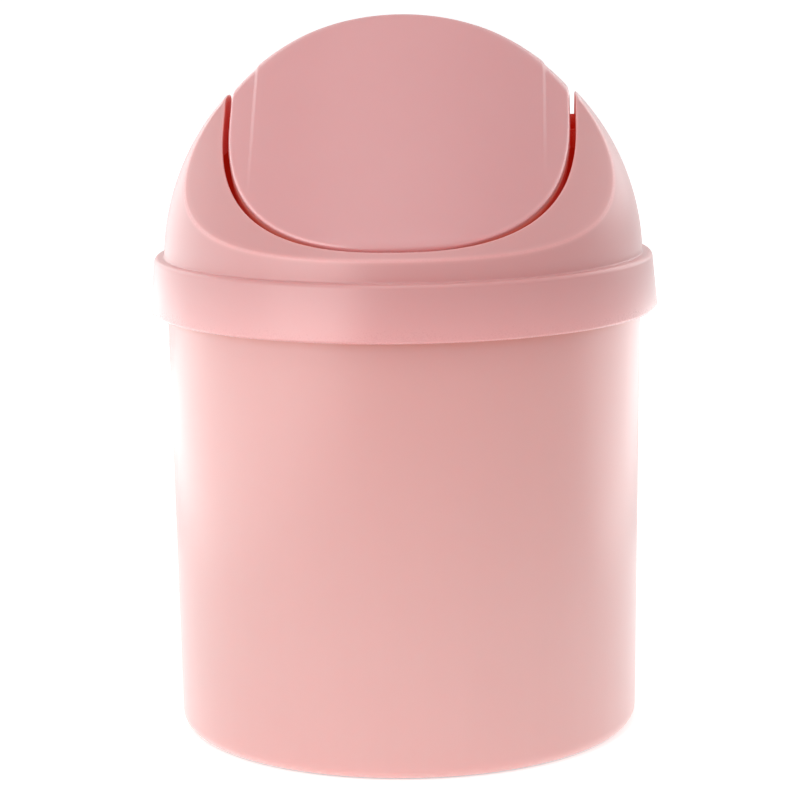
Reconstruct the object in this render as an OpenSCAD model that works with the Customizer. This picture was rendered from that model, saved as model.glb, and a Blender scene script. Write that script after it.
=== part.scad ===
// Countertop bin: a round bucket, a domed hood that slides over its rim, and a roof-shaped
// flap that swings both ways on two pins moulded on its cheeks.
// Millimetres. +Z is up, the front is -Y, and the origin is the centre of the foot ring.

/* [Bucket] */
// Height of the bucket to the top of its rim
bucket_h = 128.4; // [100:0.1:160]
// Outer radius of the bucket under its rim
rim_r = 64.4; // [60:0.1:70]
// How much narrower the bucket is at its foot
bucket_draft = 1.4; // [0.5:0.1:5]
// Thickness of the bucket's wall
bucket_wall = 1.5; // [1:0.1:2.5]
// Thickness of the bucket's base
base_wall = 2; // [1.2:0.1:4]
// Radius of the foot's outer edge
foot_round = 4; // [2:0.5:8]
// Width of the ring that the bucket stands on
foot_ring_w = 3; // [2:0.5:6]
// Depth of the recess under the base
base_recess = 1.5; // [0.5:0.1:3]
// How far the bead round the rim stands out
bead_out = 0.9; // [0.4:0.1:1.5]
// Height of the bead round the rim
bead_h = 3.2; // [2:0.1:6]

/* [Hood] */
// Thickness of the hood's wall
hood_wall = 1.6; // [1.2:0.1:2.4]
// Clearance between the top of the rim and the seat under the hood's ledge
seat_gap = 0.15; // [0.1:0.05:0.5]
// Gap between the bead and the collar at the collar's top
collar_gap = 0.6; // [0.5:0.1:1.5]
// Height of the collar from its lip to the ledge
collar_h = 14.8; // [10:0.1:25]
// How much wider the collar is at its lip than at the ledge
collar_flare = 1.5; // [0.3:0.1:3]
// Radius of the collar's upper edge
collar_round = 1.3; // [0.5:0.1:2]
// Width of the ledge between the collar's edge and the dome
ledge_w = 2.6; // [1.5:0.1:4]
// How far the dome's centre lies below the ledge
dome_sink = 1.8; // [0:0.1:6]
// Number of locating ribs inside the collar
rib_count = 8; // [4:2:16]
// Width of a locating rib
rib_w = 1.4; // [1:0.1:3]
// Gap between a locating rib and the bead
rib_gap = 0.3; // [0.1:0.05:0.4]

/* [Roof facets] */
// Slope of both facets from level, in degrees
slope = 42.2; // [38:0.1:46]
// Height of a facet's lowest point above the ledge
facet_rise = 5.6; // [4:0.1:9]
// Radius of a facet's sideways bend
bend_r = 102; // [95:1:130]

/* [Mouth] */
// Half the width of the hood's mouth
mouth_hw = 46.7; // [44:0.1:48]
// Distance up the slope from the facet's lowest point to the mouth
mouth_lip = 3.1; // [2:0.1:6]
// Height of the round part of the mouth, along the slope
mouth_drop = 54; // [48:1:58]
// Fullness of the mouth's round corners (2 is an ellipse)
mouth_full = 2.25; // [2:0.05:2.6]

/* [Flap] */
// Thickness of the flap's wall
flap_wall = 1.5; // [1.2:0.1:2]
// Gap between the flap and the hood at each side
side_gap = 1.5; // [1:0.1:2]
// Gap between the flap and the hood along the mouth's lower edge
lower_gap = 0.8; // [0.7:0.1:1.5]
// Depth of the stiffening lip round the flap's edge, with the wall
flap_lip = 5.5; // [3:0.1:7]
// Radius of the flap's crown
crown_r = 61.4; // [60:0.1:64]
// How far the flap's crown stands above the dome that the hood is cut from
crown_proud = 1.3; // [0.5:0.1:2]
// Half the width of the raised panel between the flap's margins
panel_hw = 38.5; // [34:0.5:41]
// Rise of the panel above the margins at the ridge
panel_rise = 0.35; // [0.2:0.05:0.6]

/* [Pivot] */
// Radius of the flap's pivot pins
pin_r = 2; // [1.5:0.1:2.5]
// Radial clearance of a pin in its bearing
pin_gap = 0.08; // [0.05:0.01:0.1]
// Depth of the pivot below the tops of the ears
pivot_drop = 8.4; // [8:0.1:10]
// Thickness of the web inside each ear
web_t = 1.6; // [1.2:0.1:2]
// Wall of the bearing boss round a pin
boss_wall = 1.7; // [1.2:0.1:2]
// How far a boss stands out behind its web
boss_out = 1.5; // [1:0.1:1.8]
// How far webs and cheeks reach below the pivot
cheek_drop = 7; // [5:0.5:9]

/* [Hidden] */
$fn = 160;
arc_steps = 6;
mouth_steps = 22;
far = 200;

hood_colour = [0.91, 0.68, 0.68];
bucket_colour = [0.95, 0.74, 0.74];
flap_colour = [0.88, 0.64, 0.65];

// the bucket
foot_r = rim_r - bucket_draft;
bead_r = rim_r + bead_out;
bead_edge = min(1, bead_h / 3, bucket_wall / 2);

// the hood's turned parts
ledge_z = bucket_h + seat_gap + hood_wall;
lip_z = ledge_z - collar_h;
collar_r = bead_r + collar_gap + hood_wall;
lip_r = collar_r + collar_flare;
ledge_r = collar_r - ledge_w;
dome_z = ledge_z - dome_sink;
dome_r = norm([ledge_r, dome_sink]);

// the facets: the lowest point of the front one, on the dome
facet_z = ledge_z + facet_rise;
facet_y = -sqrt(pow(dome_r, 2) - pow(facet_z - dome_z, 2));
ridge_s = -facet_y / cos(slope);
bend_drop = bend_r - sqrt(pow(bend_r, 2) - pow(mouth_hw, 2));
mouth_depth = bend_drop + 4 * hood_wall;

// the flap and its pivot
flap_hw = mouth_hw - side_gap;
flap_low = mouth_lip + lower_gap;
crown_z = dome_z + dome_r + crown_proud - crown_r;
ear_z = dome_z + sqrt(pow(dome_r, 2) - pow(mouth_hw, 2));
pivot_z = ear_z - pivot_drop;
panel_foot = 0.05;
panel_tilt = atan((panel_rise - panel_foot) / ridge_s);
boss_end = mouth_hw + web_t + boss_out;
pin_end = boss_end - 0.3;
pin_lead = 0.4;

// arc that rounds the corner b between a and c
function unit(v) = v / norm(v);
function corner_arc(a, b, c, r) =
    let (u = unit(a - b), v = unit(c - b), half = acos(u * v) / 2)
    let (mid = b + unit(u + v) * r / sin(half))
    let (p = b + u * r / tan(half) - mid, q = b + v * r / tan(half) - mid)
    let (start = atan2(p.y, p.x), turn = (atan2(q.y, q.x) - start + 540) % 360 - 180)
    [for (i = [0:arc_steps]) mid + r * [cos(start + turn * i / arc_steps), sin(start + turn * i / arc_steps)]];

// outline from corners [x, y, radius]
function rounded(p) =
    let (n = len(p), at = function (i) [p[(i + n) % n].x, p[(i + n) % n].y])
    [for (i = [0:n - 1]) each p[i].z > 0 ? corner_arc(at(i - 1), at(i), at(i + 1), p[i].z) : [at(i)]];

// U outline on a facet: half width, lowest point, and its straight sides run up past the ridge
function half_u(hw, low) =
    [for (i = [0:mouth_steps]) let (a = 90 * i / mouth_steps)
        [hw * pow(sin(a), 2 / mouth_full), low + mouth_drop * (1 - pow(cos(a), 2 / mouth_full))]];
function u_outline(hw, low) =
    let (h = half_u(hw, low), top = 2 * ridge_s)
    concat(h, [[hw, top], [-hw, top]], [for (i = [mouth_steps:-1:1]) [-h[i].x, h[i].y]]);

module both_sides() {
    children();
    mirror([0, 1, 0]) children();
}

module both_ears() {
    children();
    mirror([1, 0, 0]) children();
}

// places its children on the front facet: X across, Y up the slope, Z out of the face
module on_facet() {
    translate([0, facet_y, facet_z]) rotate([slope, 0, 0]) children();
}

// everything under one facet, as a leaning cylinder
module under_facet(inset, lift = 0, tilt = 0) {
    on_facet() translate([0, 0, lift]) rotate([tilt, 0, 0]) translate([0, 0, -bend_r])
        rotate([90, 0, 0]) cylinder(h = 3 * far, r = bend_r - inset, center = true);
}

module roof(inset) {
    intersection() {
        under_facet(inset);
        mirror([0, 1, 0]) under_facet(inset);
    }
}

module raised_roof() {
    intersection() {
        under_facet(0, panel_foot, panel_tilt);
        mirror([0, 1, 0]) under_facet(0, panel_foot, panel_tilt);
    }
}

// a prism square to the facet on a U outline
module u_prism(hw, low, depth = far) {
    on_facet() translate([0, 0, -depth]) linear_extrude(depth + dome_r) polygon(u_outline(hw, low));
}

module slab(x0, x1, z0) {
    translate([x0, -far / 2, z0]) cube([x1 - x0, far, far]);
}

module bucket() {
    inner_z = base_recess + base_wall;
    color(bucket_colour) rotate_extrude() polygon(rounded([
        [0, base_recess, 0],
        [foot_r - foot_round - foot_ring_w, base_recess, 0],
        [foot_r - foot_round - foot_ring_w, 0, 0.5],
        [foot_r, 0, foot_round],
        [rim_r, bucket_h - bead_h, 0],
        [bead_r, bucket_h - bead_h + bead_out, 0],
        [bead_r, bucket_h, bead_edge],
        [rim_r - bucket_wall, bucket_h, bead_edge / 2],
        [foot_r - bucket_wall, inner_z, foot_round - bucket_wall / 2],
        [0, inner_z, 0]
    ]));
}

// the collar with its ledge; the dome's inside trims the ledge's inner edge
module collar() {
    seat_z = ledge_z - hood_wall;
    inner_r = ledge_r - 2 * hood_wall;
    rotate_extrude() polygon(rounded([
        [lip_r - hood_wall, lip_z, 0.3],
        [lip_r, lip_z, 0.7],
        [collar_r, ledge_z, collar_round],
        [inner_r, ledge_z, 0],
        [inner_r, seat_z, 0],
        [collar_r - hood_wall, seat_z, 0.3]
    ]));
}

// short upright ribs that centre the hood on the bead
module collar_ribs() {
    rib_r = bead_r + rib_gap;
    rib_z = ledge_z - hood_wall / 2;
    rib_foot = lip_z + collar_h / 4;
    lean = collar_flare / collar_h;
    for (i = [0:rib_count - 1]) rotate([0, 0, (i + 0.5) * 360 / rib_count])
        rotate([90, 0, 0]) linear_extrude(rib_w, center = true) polygon([
            [rib_r, rib_z],
            [rib_r, rib_foot + 1],
            [collar_r - hood_wall / 2 + lean * (ledge_z - rib_foot), rib_foot],
            [collar_r - hood_wall / 2 + lean * (ledge_z - rib_z), rib_z]
        ]);
}

module dome(inset) {
    intersection() {
        translate([0, 0, dome_z]) sphere(dome_r - inset);
        roof(inset);
    }
}

module ear_web() {
    intersection() {
        slab(mouth_hw, mouth_hw + web_t, pivot_z - cheek_drop);
        dome(hood_wall / 2);
    }
}

module hood() {
    color(hood_colour) difference() {
        union() {
            difference() {
                union() {
                    intersection() {
                        dome(0);
                        translate([0, 0, far / 2 + ledge_z - hood_wall / 2]) cube(far, center = true);
                    }
                    collar();
                }
                dome(hood_wall);
                both_sides() u_prism(mouth_hw, mouth_lip, mouth_depth);
            }
            collar_ribs();
            both_ears() ear_web();
            both_ears() translate([mouth_hw, 0, pivot_z]) rotate([0, 90, 0])
                cylinder(h = web_t + boss_out, r = pin_r + boss_wall);
        }
        both_ears() translate([mouth_hw - 1, 0, pivot_z]) rotate([0, 90, 0])
            cylinder(h = web_t + boss_out + 1.1, r = pin_r + pin_gap);
    }
}

// the ball that rounds the flap's ridge, with its poles to the front and back
module crown(r) {
    translate([0, 0, crown_z]) rotate([90, 0, 0]) sphere(r);
}

// the flap as a full wedge under its skin, before it is hollowed
module flap_wedge() {
    intersection() {
        union() {
            intersection() {
                roof(0);
                crown(crown_r - panel_rise);
                both_ears() slab(panel_hw - 1, far / 2, 0);
            }
            intersection() {
                raised_roof();
                crown(crown_r);
                slab(-panel_hw, panel_hw, 0);
            }
        }
        u_prism(flap_hw, flap_low);
        mirror([0, 1, 0]) u_prism(flap_hw, flap_low);
    }
}

module flap_hollow() {
    intersection() {
        roof(flap_wall);
        crown(crown_r - panel_rise - flap_wall);
        u_prism(flap_hw - flap_wall, flap_low + flap_wall);
        mirror([0, 1, 0]) u_prism(flap_hw - flap_wall, flap_low + flap_wall);
    }
}

// what lies deeper than the lip and below the cheeks
module below_lip() {
    intersection() {
        roof(flap_lip);
        translate([0, 0, pivot_z - cheek_drop - far / 2]) cube(far, center = true);
    }
}

module pin() {
    root = flap_hw - flap_wall;
    translate([root, 0, pivot_z]) rotate([0, 90, 0]) {
        cylinder(h = pin_end - pin_lead - root, r = pin_r);
        translate([0, 0, pin_end - pin_lead - root]) cylinder(h = pin_lead, r1 = pin_r, r2 = pin_r - pin_lead);
    }
}

module swing_flap() {
    color(flap_colour) {
        difference() {
            flap_wedge();
            flap_hollow();
            below_lip();
        }
        both_ears() pin();
    }
}

bucket();
hood();
swing_flap();
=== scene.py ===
from math import atan2, cos, pi, radians, sin, sqrt, tan

import bmesh
import bpy
import numpy as np
from mathutils import Matrix, Vector
from mathutils.kdtree import KDTree


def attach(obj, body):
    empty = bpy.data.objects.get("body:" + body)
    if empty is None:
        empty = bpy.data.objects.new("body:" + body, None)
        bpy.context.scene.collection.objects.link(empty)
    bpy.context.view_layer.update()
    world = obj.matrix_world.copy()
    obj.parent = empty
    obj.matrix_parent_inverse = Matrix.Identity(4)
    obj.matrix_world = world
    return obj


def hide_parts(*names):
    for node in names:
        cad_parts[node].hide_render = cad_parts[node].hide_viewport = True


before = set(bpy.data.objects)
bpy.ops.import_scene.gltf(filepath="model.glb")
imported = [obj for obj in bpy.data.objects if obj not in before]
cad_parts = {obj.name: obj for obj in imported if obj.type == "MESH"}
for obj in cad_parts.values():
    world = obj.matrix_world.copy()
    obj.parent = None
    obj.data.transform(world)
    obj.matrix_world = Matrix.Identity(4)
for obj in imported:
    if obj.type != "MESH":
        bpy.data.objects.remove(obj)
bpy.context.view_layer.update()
mm = 0.001  # the shapes below are worked out in millimetres and made in metres
sharpest = radians(32)  # an edge that turns more than this is drawn sharp
above = 200             # a height over the whole can, from which rows are dropped onto it


def newPiece(name, bm, body, slot, material, *nodes):
    for face in bm.faces:
        face.smooth = True
    for edge in bm.edges:
        if edge.is_manifold:
            edge.smooth = edge.calc_face_angle() < sharpest
    mesh = bpy.data.meshes.new(name)
    bm.to_mesh(mesh)
    bm.free()
    piece = bpy.data.objects.new(name, mesh)
    bpy.context.scene.collection.objects.link(piece)
    mesh.materials.append(material)
    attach(piece, body)
    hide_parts(*nodes)
    print("made", name, len(mesh.polygons), "faces")


def roundMax(a, b, r):  # the larger of two distances, with the edge between their surfaces rounded
    return np.minimum(-r, np.maximum(a, b)) + np.hypot(np.maximum(a + r, 0), np.maximum(b + r, 0))


def settle(points, field, steps=12):  # moves points straight onto the surface where field is zero
    points = np.array(points, float)
    h = 1e-4
    for step in range(steps):
        value = field(points)
        slope = np.stack([(field(points + h * axis) - value) / h for axis in np.eye(3)], axis=-1)
        points -= (value / np.maximum((slope ** 2).sum(-1), 0.05))[..., None] * slope
    return points


def dropTo(points, direction, field, reach):  # moves points along direction down to field's surface
    low, high = np.zeros(points.shape[:-1]), np.full(points.shape[:-1], float(reach))
    for step in range(50):
        middle = (low + high) / 2
        above = field(points + middle[..., None] * direction) > 0
        low, high = np.where(above, middle, low), np.where(above, high, middle)
    return points + ((low + high) / 2)[..., None] * direction


def smooth(t):  # from 0 to 1 with soft ends
    t = np.clip(t, 0, 1)
    return t * t * (3 - 2 * t)


def cornerArc(before, corner, after, r, steps=6):  # the points of an arc that rounds one corner
    a, b, c = (Vector(p[:2]) for p in (before, corner, after))
    u, v = (a - b).normalized(), (c - b).normalized()
    half = u.angle(v) / 2
    middle = b + (u + v).normalized() * r / sin(half)
    first, last = (b + w * r / tan(half) - middle for w in (u, v))
    start = atan2(first.y, first.x)
    turn = (atan2(last.y, last.x) - start + 3 * pi) % (2 * pi) - pi
    return [tuple(middle + r * Vector((cos(start + turn * i / steps), sin(start + turn * i / steps))))
            for i in range(steps + 1)]


def roundedOutline(corners):  # an open outline, whose corners are (radius, height, corner radius)
    points = []
    for i, corner in enumerate(corners):
        if corner[2] > 0 and 0 < i < len(corners) - 1:
            points += cornerArc(corners[i - 1], corner, corners[i + 1], corner[2])
        else:
            points.append(tuple(corner[:2]))
    return points


def spun(outline, steps=160):  # turns an outline (radius, height) round the Z axis
    bm = bmesh.new()
    verts = [bm.verts.new((r * mm, 0, z * mm)) for r, z in outline]
    edges = [bm.edges.new(pair) for pair in zip(verts, verts[1:])]
    bmesh.ops.spin(bm, geom=verts + edges, cent=(0, 0, 0), axis=(0, 0, 1), angle=2 * pi,
                   steps=steps, use_merge=True)
    bmesh.ops.remove_doubles(bm, verts=bm.verts, dist=1e-6)
    bmesh.ops.recalc_face_normals(bm, faces=bm.faces)
    return bm


def skinLayers(bm):  # deep is 1 in the gap and under the skin, for the painted red glow and shade; the other layer is 1 along the smoother edges, which are glossier and carry a painted highlight
    for key in ("deep", "polishAndHighlight"):
        if key not in bm.verts.layers.float:
            bm.verts.layers.float.new(key)
    return [bm.verts.layers.float[key] for key in ("deep", "polishAndHighlight")]


def quarterShell(points, deep, polishAndHighlight):  # a grid on one quarter, mirrored to the right and to the back
    rows, columns = points.shape[:2]
    bm = bmesh.new()
    inside, edges = skinLayers(bm)
    bmesh.ops.create_grid(bm, x_segments=columns - 1, y_segments=rows - 1, size=1)
    for vert in bm.verts:
        i = round((vert.co.x + 1) / 2 * (columns - 1))
        j = round((vert.co.y + 1) / 2 * (rows - 1))
        vert.co = Vector(points[j, i]) * mm
        vert[inside] = deep[j, i]
        vert[edges] = polishAndHighlight[j]
    for axis in "XY":
        bmesh.ops.mirror(bm, geom=bm.verts[:] + bm.edges[:] + bm.faces[:], merge_dist=2e-6, axis=axis)
    bmesh.ops.remove_doubles(bm, verts=bm.verts, dist=3e-6)
    bmesh.ops.dissolve_degenerate(bm, edges=bm.edges, dist=1e-6)
    bmesh.ops.recalc_face_normals(bm, faces=bm.faces)
    return bm


def asTool(bm):  # a closed shape that another piece is joined with or cut by
    bmesh.ops.recalc_face_normals(bm, faces=bm.faces)
    mesh = bpy.data.meshes.new("tool")
    bm.to_mesh(mesh)
    bm.free()
    tool = bpy.data.objects.new("tool", mesh)
    bpy.context.scene.collection.objects.link(tool)
    return tool


def combine(bm, *changes):  # changes are pairs of an operation and a tool, made in turn
    before = KDTree(len(bm.verts))
    for i, vert in enumerate(bm.verts):
        before.insert(vert.co, i)
    before.balance()
    mesh = bpy.data.meshes.new("body")
    bm.to_mesh(mesh)
    bm.free()
    body = bpy.data.objects.new("body", mesh)
    bpy.context.scene.collection.objects.link(body)
    for operation, tool in changes:
        change = body.modifiers.new(operation, "BOOLEAN")
        change.operation = operation
        change.solver = "EXACT"
        change.object = tool
    made = bpy.data.meshes.new_from_object(body.evaluated_get(bpy.context.evaluated_depsgraph_get()))
    result = bmesh.new()
    result.from_mesh(made)
    inside, edges = skinLayers(result)
    for vert in result.verts:
        if before.find(vert.co)[2] > 1e-6:  # all that the tools add or cut lies inside
            vert[inside], vert[edges] = 1, 0
    for leftover in [body] + [tool for operation, tool in changes]:
        bpy.data.objects.remove(leftover)
    return result


def rod(bm, start, end, radius, endRadius=None, segments=64):  # along X, at the height of the pivot
    place = Matrix.Translation(((start + end) / 2 * mm, 0, dome["pivot"] * mm))
    place = place @ Matrix.Rotation(pi / 2, 4, "Y")
    bmesh.ops.create_cone(bm, cap_ends=True, segments=segments, radius1=radius * mm,
                          radius2=(radius if endRadius is None else endRadius) * mm,
                          depth=(end - start) * mm, matrix=place)


def bothSides(bm):
    bmesh.ops.mirror(bm, geom=bm.verts[:] + bm.edges[:] + bm.faces[:], merge_dist=-1, axis="X")
    return bm


def along(start, end, weights):  # rows of points between two lines of points
    return start[None] + (end - start)[None] * np.asarray(weights, float)[:, None, None]


# the pieces' common shape: the dome, and the two bent facets of the roof
dome = {
    "ledge": 130.15,      # height of the ledge round the foot of the dome
    "centre": 128.35,     # height of the dome's centre
    "radius": 64.925,
    "slope": radians(42.2),
    "facetRise": 5.6,     # from the ledge to a facet's lowest point
    "bend": 102,          # radius of a facet's sideways bend
    "mouthHalf": 46.7,    # half the width of the mouth
    "mouthLow": 3.1,      # from the facet's lowest point to the mouth, up the slope
    "mouthDrop": 54,      # height of the mouth's round part, up the slope
    "fullness": 2.25,     # of the mouth's round corners, where 2 is an ellipse
    "pivot": 165.054,
}
facetZ = dome["ledge"] + dome["facetRise"]
facetFoot = np.array([0, -sqrt(dome["radius"] ** 2 - (facetZ - dome["centre"]) ** 2), facetZ])
upSlope = np.array([0, cos(dome["slope"]), sin(dome["slope"])])
outFacet = np.array([0, -sin(dome["slope"]), cos(dome["slope"])])
straightDown = np.array([0.0, 0.0, -1.0])


def domeField(p, inset=0):
    height = p[..., 2] - dome["centre"]
    return np.sqrt(p[..., 0] ** 2 + p[..., 1] ** 2 + height ** 2) - dome["radius"] + inset


def facetField(p, inset=0, back=False):
    q = p * np.array([1, -1, 1]) if back else p
    return np.hypot(p[..., 0], (q - facetFoot) @ outFacet + dome["bend"]) - dome["bend"] + inset


def onFacet(x, s, inset=0):  # the place of a point of the front facet, from x and its way up the slope
    n = np.sqrt((dome["bend"] - inset) ** 2 - x ** 2) - dome["bend"]
    return facetFoot + x[..., None] * np.array([1, 0, 0]) + s[..., None] * upSlope + n[..., None] * outFacet


def mouthField(p, half, low):  # how far inside the mouth's outline a point is
    x, s = np.abs(p[..., 0]), (p - facetFoot) @ upSlope
    k, drop = dome["fullness"], dome["mouthDrop"]
    a, b = x / half, np.maximum(low + drop - s, 0) / drop
    g = np.maximum(a ** k + b ** k, 1e-9) ** (1 / k)
    slope = np.hypot((a / g) ** (k - 1) / half, (b / g) ** (k - 1) / drop)
    return (1 - g) / slope


def outlinePoint(turn, half, low):  # x and way up the slope on the mouth's round part
    k = 2 / dome["fullness"]
    return half * np.sin(turn) ** k, low + dome["mouthDrop"] * (1 - np.cos(turn) ** k)


bucketSize = {
    "height": 128.4, "rim": 64.4, "foot": 63.0, "wall": 1.5, "base": 2.0,
    "footRound": 4.0, "ringWidth": 3.0, "recess": 1.5, "beadOut": 0.9, "beadHeight": 3.2,
}


def makeBucket(material):
    b = bucketSize
    inner, bead = b["recess"] + b["base"], b["rim"] + b["beadOut"]
    ringIn = b["foot"] - b["footRound"] - b["ringWidth"]
    outline = roundedOutline([
        (0, b["recess"], 0),
        (ringIn, b["recess"], 0.6),
        (ringIn, 0, 0.5),
        (b["foot"], 0, b["footRound"]),
        (b["rim"], b["height"] - b["beadHeight"], 0.5),
        (bead, b["height"] - b["beadHeight"] + b["beadOut"], 0.3),
        (bead, b["height"], 0.75),
        (b["rim"] - b["wall"], b["height"], 0.35),
        (b["foot"] - b["wall"], inner, b["footRound"] - b["wall"] / 2),
        (0, inner, 0),
    ])
    newPiece("bucket_moulding", spun(outline), "bucket", "bucket_plastic", material, "bucket")


hoodSize = {
    "wall": 1.6, "lip": 115.35, "lipRadius": 69.0, "collarRadius": 67.5, "collarRound": 1.3,
    "lipRound": 0.7, "ledgeFillet": 0.45, "creaseRound": 0.45, "edgeRound": 0.6,
    "innerRound": 0.2, "sharp": 0.01,
    "leastFacet": 1.6,   # the narrowest strip of rows beside the mouth's edge, at the ears
    "mouthColumns": 84, "earColumns": 18, "turnColumns": 12,
    "earLead": (0.72, -0.75),   # how the rows above the ears lean out and down, in leastFacets
    "webDrop": 7, "webWall": 1.6, "webReach": 21.4, "webStrips": 32,
    "bossOut": 1.5, "bossRadius": 3.7, "bore": 2.08,
    "saddleFace": 45.35, "saddleHalf": 4.5, "saddleDrop": 1.9, "saddleRound": 0.25,
    "ribs": 8, "ribWidth": 1.4, "ribRadius": 65.6,
}


def hoodSkin(p, inset=0, r=None):
    return roundMax(domeField(p, inset), facetField(p, inset), hoodSize["creaseRound"] if r is None else r)


def hoodMouth(p):
    return mouthField(p, dome["mouthHalf"], dome["mouthLow"])


def hoodOutside(p):
    return roundMax(hoodSkin(p), hoodMouth(p), hoodSize["edgeRound"])


def bisect(low, high, isLow):  # where isLow stops being true between low and high
    for step in range(50):
        middle = (low + high) / 2
        keep = isLow(middle)
        low, high = np.where(keep, middle, low), np.where(keep, high, middle)
    return (low + high) / 2


def rayPoint(turn, rho, inset=0):  # a point of the facet on a ray from the middle of the mouth
    return onFacet(rho * np.sin(turn), dome["mouthLow"] + dome["mouthDrop"] - rho * np.cos(turn), inset)


def mouthReach(turn):  # length of such a ray to the mouth's edge
    k = dome["fullness"]
    across = np.sin(turn) / dome["mouthHalf"]
    down = np.maximum(np.cos(turn), 0) / dome["mouthDrop"]
    return (across ** k + down ** k) ** (-1 / k)


def hoodColumns(inset):  # the rays' points at the mouth's edge and strips of rows out to the crease
    h = hoodSize
    tip = bisect(radians(70), radians(120),
                 lambda a: domeField(rayPoint(np.array(a), mouthReach(np.array(a)), inset), inset) < 0)
    turn = np.linspace(0, float(tip), h["mouthColumns"])
    reach = mouthReach(turn)
    crease = bisect(reach, reach + 40, lambda rho: domeField(rayPoint(turn, rho, inset), inset) < 0)
    edge = rayPoint(turn, reach, inset)
    width = np.maximum(crease - reach, h["leastFacet"])
    far = rayPoint(turn, reach + width, inset)

    # the ear's upper edge is part of a circle
    ring = sqrt((dome["radius"] - inset) ** 2 - dome["mouthHalf"] ** 2)
    first = atan2(edge[-1][2] - dome["centre"], edge[-1][1])
    swing = np.linspace(first, pi / 2, h["earColumns"] + 1)[1:]
    earEdge = np.stack([np.full_like(swing, dome["mouthHalf"]), ring * np.cos(swing),
                        dome["centre"] + ring * np.sin(swing)], axis=-1)
    lead = (far[-1] - edge[-1]) * np.linspace(1, 0, h["earColumns"] + 1)[1:, None]
    lead[:, 0], lead[:, 2] = (share * h["leastFacet"] for share in h["earLead"])
    width = np.append(width, np.full(len(swing), h["leastFacet"]))
    return np.vstack([edge, earEdge]), np.vstack([far, earEdge + lead]), width


def domeRows(start, endHeight, radius, near, count):  # rows down a ball from start, at each point's azimuth
    azimuth = np.arctan2(start[:, 0], -start[:, 1])
    top = np.arcsin(np.clip((start[:, 2] - dome["centre"]) / radius, -1, 1))
    bottom = np.arcsin((endHeight - dome["centre"]) / radius)
    rows = [top - distance / radius for distance in near]
    for share in np.linspace(0, 1, count + 1)[1:]:
        rows.append((top - near[-1] / radius) * (1 - share) + bottom * share)
    elevation = np.array(rows)
    rows = np.stack([radius * np.cos(elevation) * np.sin(azimuth),
                     -radius * np.cos(elevation) * np.cos(azimuth),
                     dome["centre"] + radius * np.sin(elevation)], axis=-1)
    return rows, azimuth


def turnedRows(outline, azimuth):  # an outline (radius, height) at each column's azimuth
    rows = [[r * np.sin(azimuth), -r * np.cos(azimuth), np.full_like(azimuth, z)] for r, z in outline]
    return np.stack(rows).transpose(0, 2, 1)


gap = {"least": 0.65, "from": 140, "rise": 12}  # the painted red glow and shade in the gap is strongest at the sides, over the rise


def gapGlow(edge):  # for each column, how strong the gap's painted red glow and shade is
    return gap["least"] + (1 - gap["least"]) * smooth((edge[:, 2] - gap["from"]) / gap["rise"])


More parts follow.
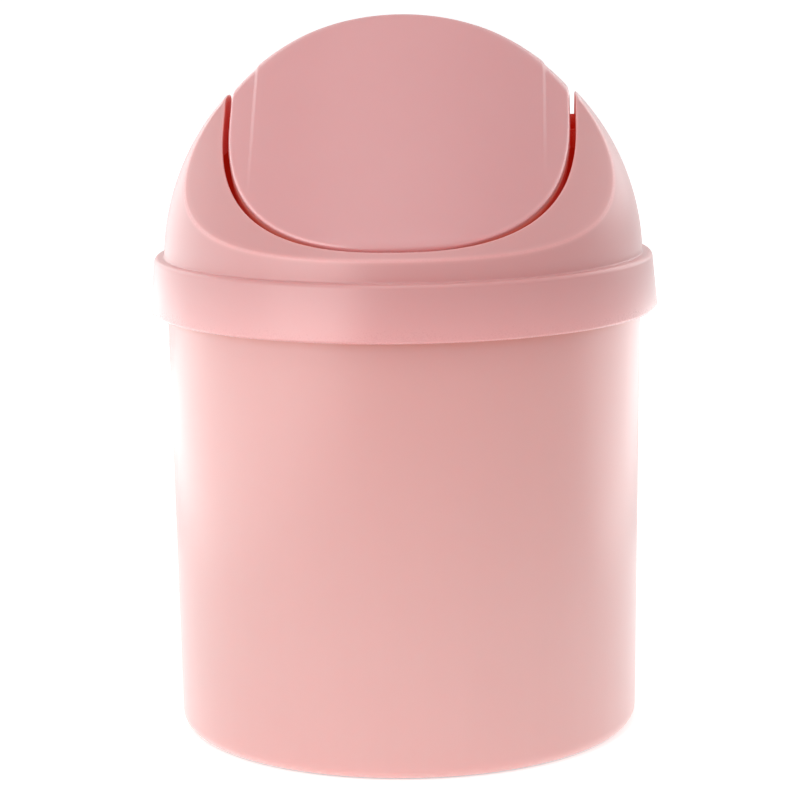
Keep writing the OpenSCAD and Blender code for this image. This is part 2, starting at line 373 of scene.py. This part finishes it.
def makeHood(material):
    h = hoodSize
    wall = h["wall"]
    edge, far, width = hoodColumns(0)
    innerFar = hoodColumns(wall)[1]

    def underSkin(p):  # the inside surface, with its edges softly rounded
        return hoodSkin(p, wall, h["innerRound"])

    # the mouth's wall, straight into the facet and turning straight down at the ears
    s = (edge - facetFoot) @ upSlope
    level = s[h["mouthColumns"] - h["turnColumns"]]
    share = smooth((s - level) / (s[-1] - level))[:, None]
    inward = -outFacet * (1 - share) + straightDown * share
    inward /= np.linalg.norm(inward, axis=1)[:, None]
    corner = dropTo(edge, inward, lambda p: hoodSkin(p, wall, h["sharp"]), 8)
    wallRows = settle(along(corner, edge, [0, 0.3, 0.55, 0.7, 0.8, 0.88, 0.95]), hoodOutside)
    wallRows[0] = corner

    # the facet, from the rounded mouth edge to the crease
    near = np.array([0.0, 0.08, 0.2, 0.35, 0.55, 0.8])
    crease = np.array([0.8, 0.5, 0.3, 0.15, 0.0])
    rows = [near[:, None] / width]
    middle = np.linspace(0, 1, 9)[1:-1, None]
    rows.append(near[-1] / width + (1 - (near[-1] + crease[0]) / width).clip(0) * middle)
    rows.append(1 - crease[:, None] / width)
    weights = np.maximum.accumulate(np.vstack(rows), axis=0)
    facetRows = settle(edge + (far - edge) * weights[..., None], hoodOutside)

    # the dome down to the ledge, the collar and its inside
    fillet = h["ledgeFillet"]
    ballRows, azimuth = domeRows(facetRows[-1], dome["ledge"] + fillet, dome["radius"],
                                 [0.15, 0.3, 0.5, 0.8, 1.3], 18)
    ballRows = settle(ballRows, hoodOutside)
    seat = dome["ledge"] - wall
    foot = sqrt(dome["radius"] ** 2 - (dome["ledge"] - dome["centre"]) ** 2)
    inFoot = sqrt((dome["radius"] - wall) ** 2 - (seat - dome["centre"]) ** 2)
    collar = roundedOutline([
        (foot - 0.01, dome["ledge"] + fillet, 0),
        (foot + 0.02, dome["ledge"], fillet * 0.9),
        (h["collarRadius"], dome["ledge"], h["collarRound"]),
        (h["lipRadius"], h["lip"], h["lipRound"]),
        (h["lipRadius"] - wall, h["lip"], 0.3),
        (h["collarRadius"] - wall, seat, 0.3),
        (inFoot, seat, 0),
    ])[1:]
    collarRows = turnedRows(collar, azimuth)
    innerRows, innerAzimuth = domeRows(settle(innerFar, underSkin), seat, dome["radius"] - wall,
                                       [0.3, 0.9], 10)
    turned = np.linspace(0, 1, len(innerRows))[:, None]
    az = innerAzimuth * (1 - turned) + azimuth * turned
    flat = np.hypot(innerRows[..., 0], innerRows[..., 1])
    innerRows = np.stack([flat * np.sin(az), -flat * np.cos(az), innerRows[..., 2]], axis=-1)
    innerRows = settle(innerRows, underSkin)[:-1][::-1]
    innerFacet = settle(along(innerFar, corner, [0, 0.2, 0.45, 0.75]), underSkin)

    parts = [wallRows, facetRows, ballRows, collarRows, innerRows, innerFacet, corner[None]]
    # deep: where the painted red glow and shade of the gap go
    deep = [1, 1, 1, 1, 0.9, 0.6, 0.25] + [0] * (len(facetRows) + len(ballRows) + len(collarRows))
    deep += list(np.linspace(0, 1, len(innerRows))) + [1] * (len(innerFacet) + 1)
    polishAndHighlight = [0, 0, 0, 0, 0, 0.4, 0.9, 1, 1, 1, 0.8, 0.4, 0.1] + [0] * 7  # painted highlight and gloss at the mouth's edge
    polishAndHighlight += [0.2, 0.5, 0.8, 1, 1, 1, 0.8, 0.5, 0.2]  # and along the crease
    polishAndHighlight += [0] * (len(facetRows) + len(wallRows) + len(ballRows) - len(polishAndHighlight))
    # the collar's lower lip carries the painted highlight too
    polishAndHighlight += [float(z < h["lip"] + 0.8) for r, z in collar]
    polishAndHighlight += [0] * (len(innerRows) + len(innerFacet) + 1)
    shell = quarterShell(np.concatenate(parts), np.outer(deep, gapGlow(edge)), polishAndHighlight)
    added = [("UNION", tool) for tool in (earWebs(), bosses(), saddles(), collarRibs())]
    moulding = combine(shell, *added, ("DIFFERENCE", bores()))
    newPiece("hood_moulding", moulding, "hood", "hood_plastic", material, "hood")


def earWebs():  # a plate under each ear, from the skin down past the pivot
    h = hoodSize
    bottom = dome["pivot"] - h["webDrop"]
    x, reach, count = dome["mouthHalf"] + 0.02, h["webReach"], h["webStrips"]
    y = -np.abs(np.linspace(-reach, reach, count + 1))
    plan = np.stack([np.full_like(y, x + h["webWall"] / 2), y, np.full_like(y, above)], axis=-1)
    top = dropTo(plan, straightDown, lambda p: hoodSkin(p, h["wall"] / 2, h["sharp"]), 60)[:, 2]
    bm = bmesh.new()
    bmesh.ops.create_grid(bm, x_segments=count, y_segments=1, size=1)
    for vert in bm.verts:
        i = round((vert.co.x + 1) / 2 * count)
        height = max(top[i], bottom + 0.3) if vert.co.y > 0 else bottom
        vert.co = Vector((x, vert.co.x * reach, height)) * mm
    made = bmesh.ops.extrude_face_region(bm, geom=bm.faces[:])
    far = [v for v in made["geom"] if isinstance(v, bmesh.types.BMVert)]
    bmesh.ops.translate(bm, vec=(h["webWall"] * mm, 0, 0), verts=far)
    return asTool(bothSides(bm))


def bosses():
    h = hoodSize
    bm = bmesh.new()
    rod(bm, dome["mouthHalf"] + 0.03, dome["mouthHalf"] + h["webWall"] + h["bossOut"], h["bossRadius"])
    return asTool(bothSides(bm))


def saddles():  # a low pad on each web right under the pin, which keeps the flap's cheek off the web
    h = hoodSize
    low, high = dome["pivot"] - h["webDrop"] + 0.02, dome["pivot"] - h["saddleDrop"]
    size = ((dome["mouthHalf"] + 0.5 - h["saddleFace"]) * mm, 2 * h["saddleHalf"] * mm, (high - low) * mm)
    place = Vector(((dome["mouthHalf"] + 0.5 + h["saddleFace"]) / 2, 0, (low + high) / 2)) * mm
    bm = bmesh.new()
    bmesh.ops.create_cube(bm, size=1, matrix=Matrix.Translation(place) @ Matrix.Diagonal((*size, 1)))
    bmesh.ops.bevel(bm, geom=bm.edges[:], offset=h["saddleRound"] * mm, offset_type="OFFSET",
                    affect="EDGES", segments=2, profile=0.5, material=-1)
    return asTool(bothSides(bm))


def bores():
    h = hoodSize
    bm = bmesh.new()
    rod(bm, dome["mouthHalf"] - 2, dome["mouthHalf"] + h["webWall"] + h["bossOut"] + 1, h["bore"])
    return asTool(bothSides(bm))


def collarRibs():  # short upright ribs that centre the hood on the bucket's bead
    h = hoodSize
    top, foot = dome["ledge"] - h["wall"] / 2, h["lip"] + (dome["ledge"] - h["lip"]) / 4
    lean = (h["lipRadius"] - h["collarRadius"]) / (dome["ledge"] - h["lip"])
    skin = [h["collarRadius"] - h["wall"] / 2 + lean * (dome["ledge"] - z) for z in (top, foot)]
    outline = [(h["ribRadius"], top), (h["ribRadius"], foot + 1), (skin[1], foot), (skin[0], top)]
    bm = bmesh.new()
    for i in range(h["ribs"]):
        turn = Matrix.Rotation((i + 0.5) * 2 * pi / h["ribs"], 4, "Z")
        verts = [bm.verts.new(turn @ Vector((r, -h["ribWidth"] / 2, z)) * mm) for r, z in outline]
        made = bmesh.ops.extrude_face_region(bm, geom=[bm.faces.new(verts)])
        far = [v for v in made["geom"] if isinstance(v, bmesh.types.BMVert)]
        bmesh.ops.translate(bm, vec=turn @ Vector((0, h["ribWidth"] * mm, 0)), verts=far)
    return asTool(bm)


flapSize = {
    "wall": 1.5, "half": 45.2, "low": 3.9, "lip": 5.5, "crown": 61.4, "crownCentre": 133.175,
    "panelHalf": 38.5, "panelRise": 0.5, "stepWidth": 1.2, "panelFoot": 149,
    "edgeRound": 0.8, "ridgeRound": 0.7, "cheek": 158.05, "ring": 1.0,
    "panelColumns": 30, "stepColumns": 11, "marginColumns": 17, "sideColumns": 12,
    "pin": 2.0, "pinEnd": 49.5, "pinLead": 0.4,
}


def panelLift(p):  # the panel between the margins stands a little proud, most of all at the ridge
    f = flapSize
    across = smooth((f["panelHalf"] + f["stepWidth"] / 2 - np.abs(p[..., 0])) / f["stepWidth"])
    ridge = dome["centre"] + dome["radius"]
    up = np.clip((p[..., 2] - f["panelFoot"]) / (ridge - f["panelFoot"]), 0, 1)
    return f["panelRise"] * across * up ** 0.7


def flapSkin(p, inset=0):
    f = flapSize
    lift = panelLift(p) if inset == 0 else 0
    r = f["ridgeRound"]
    roof = roundMax(facetField(p, inset), facetField(p, inset, back=True), r)
    height = p[..., 2] - f["crownCentre"]
    ball = np.sqrt(p[..., 0] ** 2 + p[..., 1] ** 2 + height ** 2) - f["crown"] + f["panelRise"]
    return roundMax(roof, ball + inset, r) - lift


def flapOutside(p):
    return roundMax(flapSkin(p), -mouthField(p, flapSize["half"], flapSize["low"]), flapSize["edgeRound"])


def makeFlap(material):
    f = flapSize
    ring = f["ring"]

    # columns by their x on the first ring inside the edge; those of the margins fan out to the ridge
    step = np.linspace(f["panelHalf"] - 0.7, f["panelHalf"] + 0.8, f["stepColumns"])
    panel = np.concatenate([np.linspace(0, step[0], f["panelColumns"])[:-1], step])
    turn = np.arcsin((panel / (f["half"] - ring)) ** (dome["fullness"] / 2))
    turn = np.concatenate([turn, np.linspace(turn[-1], pi / 2, f["marginColumns"])[1:]])

    def underSkin(p):
        return flapSkin(p, f["wall"])

    def outline(inset):
        field = flapSkin if inset < f["wall"] else underSkin
        x, s = outlinePoint(turn, f["half"] - inset, f["low"] + inset)
        base = onFacet(x, s) + outFacet * 6
        skin = dropTo(base, -outFacet, field, 20)
        y = skin[-1][1] * np.linspace(1, 0, f["sideColumns"] + 1)[1:]
        side = np.stack([np.full_like(y, f["half"] - inset), y, np.full_like(y, above)], axis=-1)
        side = dropTo(side, straightDown, field, 60)
        return np.vstack([skin, side])

    edge, inner, innerWall = outline(0), outline(ring), outline(f["wall"])
    count = len(edge)
    ridgeX = inner[:, 0].copy()
    fan = np.linspace(0, 1, count - len(panel) + 1)[1:]
    ridgeX[len(panel):] = panel[-1] + (f["half"] - ring - panel[-1]) * fan

    def skinRows(start, shares, field):  # rows from the outline up to the ridge
        top = np.stack([ridgeX, np.zeros(count), np.zeros(count)], axis=-1)
        plan = along(start * np.array([1, 1, 0]), top, shares)
        plan[..., 2] = 215
        return dropTo(plan, straightDown, field, 90)

    ridgeRows = 1 - np.array([8, 6, 4.5, 3.2, 2.2, 1.4, 0.7, 0]) / 64
    shares = np.concatenate([np.linspace(0, ridgeRows[0], 34)[:-1], ridgeRows])
    outerRows = skinRows(inner, shares, flapSkin)[::-1]
    ringRows = settle(along(inner, edge, [0.25, 0.45, 0.6, 0.75, 0.88, 0.96]), flapOutside)

    # the lip straight into the facet, and the cheeks straight down
    depth = f["lip"]
    s = (edge - facetFoot) @ upSlope
    level = s[-f["sideColumns"] - 4]
    share = smooth((s - level) / (s[-1] - level))
    floor = np.minimum(edge[:, 2] - depth * outFacet[2], f["cheek"])
    bottom = np.stack([edge[:, 0], edge[:, 1] - depth * outFacet[1] * (1 - share), floor], axis=-1)
    lipIn = bottom + (innerWall - edge) * np.array([1, 1, 0])
    lipRows = settle(along(edge, bottom, [0.04, 0.1, 0.18, 0.35, 0.6, 0.85, 0.96]), flapOutside)
    lipRows = np.concatenate([lipRows, along(bottom, lipIn, [0.15, 0.85]),
                              along(lipIn, innerWall, [0.04, 0.3, 0.7])])
    innerRows = skinRows(innerWall, shares, underSkin)

    # deep: where the painted red glow and shade of the gap go
    deep = [0] * (len(outerRows) + len(ringRows)) + [0, 0.05, 0.35, 0.8] + [1] * (len(lipRows) - 4)
    deep += [0.8] * len(innerRows)
    # painted highlight and gloss along the flap's rounded edge
    polishAndHighlight = [0] * len(outerRows) + [0.2, 0.5, 0.8, 1, 1, 1, 1, 0.7, 0.3]
    polishAndHighlight += [0] * (len(lipRows) - 3 + len(innerRows))
    rows = np.concatenate([outerRows, ringRows, lipRows, innerRows])
    shell = quarterShell(rows, np.outer(deep, gapGlow(edge)), polishAndHighlight)
    bm = bmesh.new()
    rod(bm, f["half"] - f["wall"] / 2, f["pinEnd"] - f["pinLead"], f["pin"])
    rod(bm, f["pinEnd"] - f["pinLead"], f["pinEnd"], f["pin"], f["pin"] - f["pinLead"])
    bmesh.ops.remove_doubles(bm, verts=bm.verts, dist=1e-6)
    moulding = combine(shell, ("UNION", asTool(bothSides(bm))))
    newPiece("flap_moulding", moulding, "swing_flap", "flap_plastic", material, "swing_flap")


class Value:  # one socket's value, with which shader maths is written as plain sums
    def __init__(self, graph, socket):
        self.graph, self.socket = graph, socket

    def mathNode(self, operation, *values):
        return self.graph.add("ShaderNodeMath", {"operation": operation}, dict(enumerate(values)))

    def __add__(self, other):
        return self.mathNode("ADD", self, other)

    __radd__ = __add__

    def __mul__(self, other):
        return self.mathNode("MULTIPLY", self, other)

    __rmul__ = __mul__

    def __sub__(self, other):
        return self.mathNode("SUBTRACT", self, other)

    def __rsub__(self, other):
        return self.mathNode("SUBTRACT", other, self)


class Graph:  # the nodes of a material or a world
    def __init__(self, owner, shader):
        owner.use_nodes = True
        self.tree = owner.node_tree
        self.shader = self.tree.nodes[shader]

    def shade(self, **values):  # sets the shader's sockets, where a name's underscores stand for spaces
        for key, value in values.items():
            self.put(self.shader.inputs[key.replace("_", " ")], value)

    def put(self, socket, value):
        if isinstance(value, Value):
            self.tree.links.new(value.socket, socket)
        elif isinstance(value, tuple) and len(value) == 3 and socket.type == "RGBA":
            socket.default_value = (*value, 1)
        else:
            socket.default_value = value

    def add(self, kind, settings, sockets, out=0):  # sockets are named or numbered
        node = self.tree.nodes.new(kind)
        for key, setting in settings.items():
            setattr(node, key, setting)
        for key, value in sockets.items():
            self.put(node.inputs[key], value)
        return Value(self, node.outputs[out])

    def noise(self, place, scale, detail=2.0):
        return self.add("ShaderNodeTexNoise", {}, {"Vector": place, "Scale": scale, "Detail": detail})

    def fade(self, value, low, high):  # 0 below low, 1 above high
        return self.add("ShaderNodeMapRange", {}, {"Value": value, "From Min": low, "From Max": high})

    def openness(self, reach):  # 1 in the open, 0 where walls within reach stand all round
        return self.add("ShaderNodeAmbientOcclusion", {"samples": 8}, {"Distance": reach}, out="AO")

    def shownRays(self):  # 1 for what the camera sees, straight, in a reflection or through a clear wall
        kinds = ("Is Camera Ray", "Is Glossy Ray", "Is Transmission Ray")
        return sum(self.add("ShaderNodeLightPath", {}, {}, out=kind) for kind in kinds)

    def blend(self, share, first, second):
        return self.add("ShaderNodeMix", {"data_type": "RGBA"}, {0: share, 6: first, 7: second}, out=2)


plastic = {
    "roughness": 0.42, "specular": 0.3, "coat": 0.7, "coatRoughness": 0.3,
    "sheen": 0.08, "sheenRoughness": 0.3,
    "subsurface": 0.35, "subsurfaceRadius": (1.0, 0.3, 0.25), "subsurfaceScale": 0.0025,
    "grain": 2600,         # per metre, the fine texture of the mould
    "waves": 45,           # per metre, the slow unevenness of a thin moulded wall
    "streak": 160,         # per metre, the upright flow marks
    "streakSquash": 0.06,  # how much slower they change along the height
    # the third tint on the next line is a painted highlight for the smoother edges
    "lightest": (1.03, 1.03, 1.03), "darkest": (0.985, 0.965, 0.965), "paintedHighlight": (1.25, 1.25, 1.25),
    "edge": (0.82, 0.33, 0.26),  # painted glow: the gap's thin edges are painted warmer, and the next line's emission is a painted glow, for the light they let through
    "edgeGlow": (0.14, 0.03, 0.02),
    "inside": (0.42, 0.025, 0.015),  # painted red glow and shade in the hollow behind them; the next line's emission is a painted glow
    "glow": (0.17, 0.003, 0.001),
    "gapReach": 0.2, "gapOpen": 0.45, "gapShut": 0.1,  # how shut in a place is, for the painted red glow and shade to fade in
    "edgeFull": 0.45, "insideFrom": 0.4,               # the shares of deep for the two colours
    "relief": 0.0003, "reliefStrength": 0.5, "reliefMix": (0.9, 0.02),  # of the waves and the grain
    "colourMix": (0.6, 0.15), "roughMix": (0.1, 0.12),
    # the first share on the next line is of the painted highlight in the edges' colour; the edges' lower
    # roughness is real gloss
    "paintedHighlightShare": 0.75, "polishRough": 0.15, "deepRough": 0.5,
}
rim = {  # painted shade: the bucket's wall is painted a little darker up to its rim, with a painted warm shadow under the collar
    "paintedShade": (1.0, 0.87, 0.87), "from": 0.03, "to": 0.125,
    # this line and the next: the painted warm shadow under the collar
    "bandFrom": 0.1125, "bandTo": 0.1155, "bandShare": 0.7,
    "reach": 0.008, "open": 0.97, "shut": 0.75,
}


def tinted(colour, shares):
    return tuple(min(1, c * share) for c, share in zip(colour, shares))


def pinkPlastic(name, colour, streaks=0.1, underHood=False):
    p = plastic
    material = bpy.data.materials.new(name)
    g = Graph(material, "Principled BSDF")
    place = g.add("ShaderNodeTexCoord", {}, {}, out="Object")
    deep = g.add("ShaderNodeAttribute", {"attribute_name": "deep"}, {}, out="Fac")
    polishAndHighlight = g.add("ShaderNodeAttribute", {"attribute_name": "polishAndHighlight"}, {}, out="Fac")
    slow = g.noise(place, p["waves"])
    fine = g.noise(place, p["grain"], 1.0)

    def mix(shares):
        return slow * shares[0] + fine * shares[1]

    upright = g.add("ShaderNodeMapping", {}, {"Vector": place, "Scale": (1, 1, p["streakSquash"])})
    mottle = mix(p["colourMix"]) + g.noise(upright, p["streak"], 3.0) * streaks
    skin = g.blend(mottle, tinted(colour, p["darkest"]), tinted(colour, p["lightest"]))
    # painted highlight: the smoother edges are painted lighter
    skin = g.blend(polishAndHighlight * p["paintedHighlightShare"], skin, tinted(colour, p["paintedHighlight"]))
    if underHood:
        height = g.add("ShaderNodeSeparateXYZ", {}, {"Vector": place}, out="Z")
        # painted shade: darker towards the rim
        skin = g.blend(g.fade(height, rim["from"], rim["to"]), skin, tinted(colour, rim["paintedShade"]))
        # painted shadow under the collar: a warm red band where the hood shuts the light out
        shut = g.fade(g.openness(rim["reach"]), rim["open"], rim["shut"])
        band = g.fade(height, rim["bandFrom"], rim["bandTo"])
        skin = g.blend(band * shut * rim["bandShare"], skin, p["edge"])

    # painted red glow and shade where other walls shut the light out, so that an open flap is nearly plain
    # pink
    deep = deep * g.fade(g.openness(p["gapReach"]), p["gapOpen"], p["gapShut"])
    near, far = g.fade(deep, 0, p["edgeFull"]), g.fade(deep, p["insideFrom"], 1)
    rough = mix(p["roughMix"]) + (p["roughness"] - sum(p["roughMix"]) / 2)
    bump = {"Strength": p["reliefStrength"], "Distance": p["relief"], "Height": mix(p["reliefMix"])}
    # the gap's base colour and emission are painted red glow and shade; no lamp is there
    g.shade(Base_Color=g.blend(far, g.blend(near, skin, p["edge"]), p["inside"]),
            Emission_Color=g.blend(far, g.blend(near, (0, 0, 0), p["edgeGlow"]), p["glow"]),
            Emission_Strength=1,
            Roughness=rough - polishAndHighlight * p["polishRough"] + deep * p["deepRough"],
            Normal=g.add("ShaderNodeBump", {}, bump),
            Coat_Weight=(polishAndHighlight * (1 - p["coat"]) + p["coat"]) * (1 - deep),
            Coat_Roughness=p["coatRoughness"],
            Specular_IOR_Level=p["specular"],
            Sheen_Weight=p["sheen"],
            Sheen_Roughness=p["sheenRoughness"],
            Subsurface_Weight=p["subsurface"],
            Subsurface_Radius=p["subsurfaceRadius"],
            Subsurface_Scale=p["subsurfaceScale"])
    return material


makeBucket(pinkPlastic("bucket pink", (0.785, 0.432, 0.411), streaks=0.5, underHood=True))
makeHood(pinkPlastic("hood pink", (0.685, 0.318, 0.314)))
makeFlap(pinkPlastic("flap pink", (0.71, 0.326, 0.33)))


studio = {
    "ambient": 0.60, "shown": 1.0,     # the world's light, and how bright the camera sees it
    "floor": 0.86, "floorGlow": 0.53,  # the paper's shade, and what makes it as white as the world
    "floorSize": 12,
}


def makeStage():
    material = bpy.data.materials.new("white paper")
    g = Graph(material, "Principled BSDF")
    g.shade(Base_Color=(studio["floor"],) * 3, Roughness=0.9, Specular_IOR_Level=0.1, Emission_Strength=1,
            Emission_Color=g.blend(g.shownRays(), (0.0, 0.0, 0.0), (studio["floorGlow"],) * 3))
    bm = bmesh.new()
    bmesh.ops.create_grid(bm, x_segments=2, y_segments=2, size=studio["floorSize"])
    mesh = bpy.data.meshes.new("floor")
    bm.to_mesh(mesh)
    bm.free()
    mesh.materials.append(material)
    floor = bpy.data.objects.new("floor", mesh)
    bpy.context.scene.collection.objects.link(floor)

    world = bpy.data.worlds.new("studio")
    bpy.context.scene.world = world
    g = Graph(world, "Background")
    brighter = g.fade(g.shownRays(), 0, 1) * (studio["shown"] - studio["ambient"])
    g.shade(Color=(1, 1, 1), Strength=brighter + studio["ambient"])
    print("made the stage")


def areaLamp(name, place, target, size, power, shineOnly=True, disk=False):
    lamp = bpy.data.lights.new(name, "AREA")
    lamp.shape = "DISK" if disk else "RECTANGLE"
    lamp.size, lamp.size_y = size
    lamp.energy = power
    holder = bpy.data.objects.new(name, lamp)
    bpy.context.scene.collection.objects.link(holder)
    holder.location = place
    holder.rotation_euler = (Vector(target) - Vector(place)).to_track_quat("-Z", "Y").to_euler()
    holder.visible_diffuse = not shineOnly
    holder.visible_transmission = not shineOnly
    holder.visible_camera = False


def makeLamps():
    middle = (0, 0, 0.1)
    areaLamp("high", (-0.1, -0.45, 1.2), middle, (0.9, 0.9), 3.4, shineOnly=False)
    areaLamp("left soft", (-0.72, -0.8, 0.35), middle, (0.8, 0.8), 2.0, shineOnly=False)
    areaLamp("front left shine", (-0.5, -0.7, 0.25), middle, (0.6, 0.9), 3.3)
    areaLamp("left shine", (-0.85, -0.15, 0.25), middle, (0.8, 0.9), 3.3)
    areaLamp("back left shine", (-0.6, 0.5, 0.25), middle, (0.7, 0.9), 2.4)
    areaLamp("back right shine", (0.6, 0.5, 0.45), middle, (0.7, 0.6), 1.7)

    # these lie on the floor and face up, as paper that the light falls on
    areaLamp("floor shine left", (-0.52, -0.12, 0.001), (-0.52, -0.12, 1), (0.6, 1.2), 4.2)
    areaLamp("floor shine right", (0.5, 0.38, 0.001), (0.5, 0.38, 1), (0.6, 0.7), 1.8)
    areaLamp("foot glow", (0, 0, 0.0004), (0, 0, 1), (0.45, 0.45), 0.18, shineOnly=False, disk=True)
    print("made the lamps")


cameraView = {
    "distance": 0.750, "height": 0.22357, "pitch": 10.17, "turn": 2.7, "aside": -0.00144,
    "roll": -0.78, "lens": 124.74, "sensor": 36,
}


def makeCamera():
    c = cameraView
    data = bpy.data.cameras.new("photo view")
    data.lens = c["lens"]
    data.sensor_width = c["sensor"]
    data.sensor_fit = "HORIZONTAL"
    camera = bpy.data.objects.new("photo view", data)
    bpy.context.scene.collection.objects.link(camera)
    heading = Matrix.Rotation(radians(c["turn"]), 4, "Z")
    place = heading @ Matrix.Translation((c["aside"], -c["distance"], c["height"]))
    tilt = Matrix.Rotation(radians(90 - c["pitch"]), 4, "X") @ Matrix.Rotation(radians(c["roll"]), 4, "Z")
    camera.matrix_world = place @ tilt
    bpy.context.scene.camera = camera
    print("made the camera")


makeStage()
makeLamps()
makeCamera()
bpy.context.scene.view_settings.view_transform = "Standard"
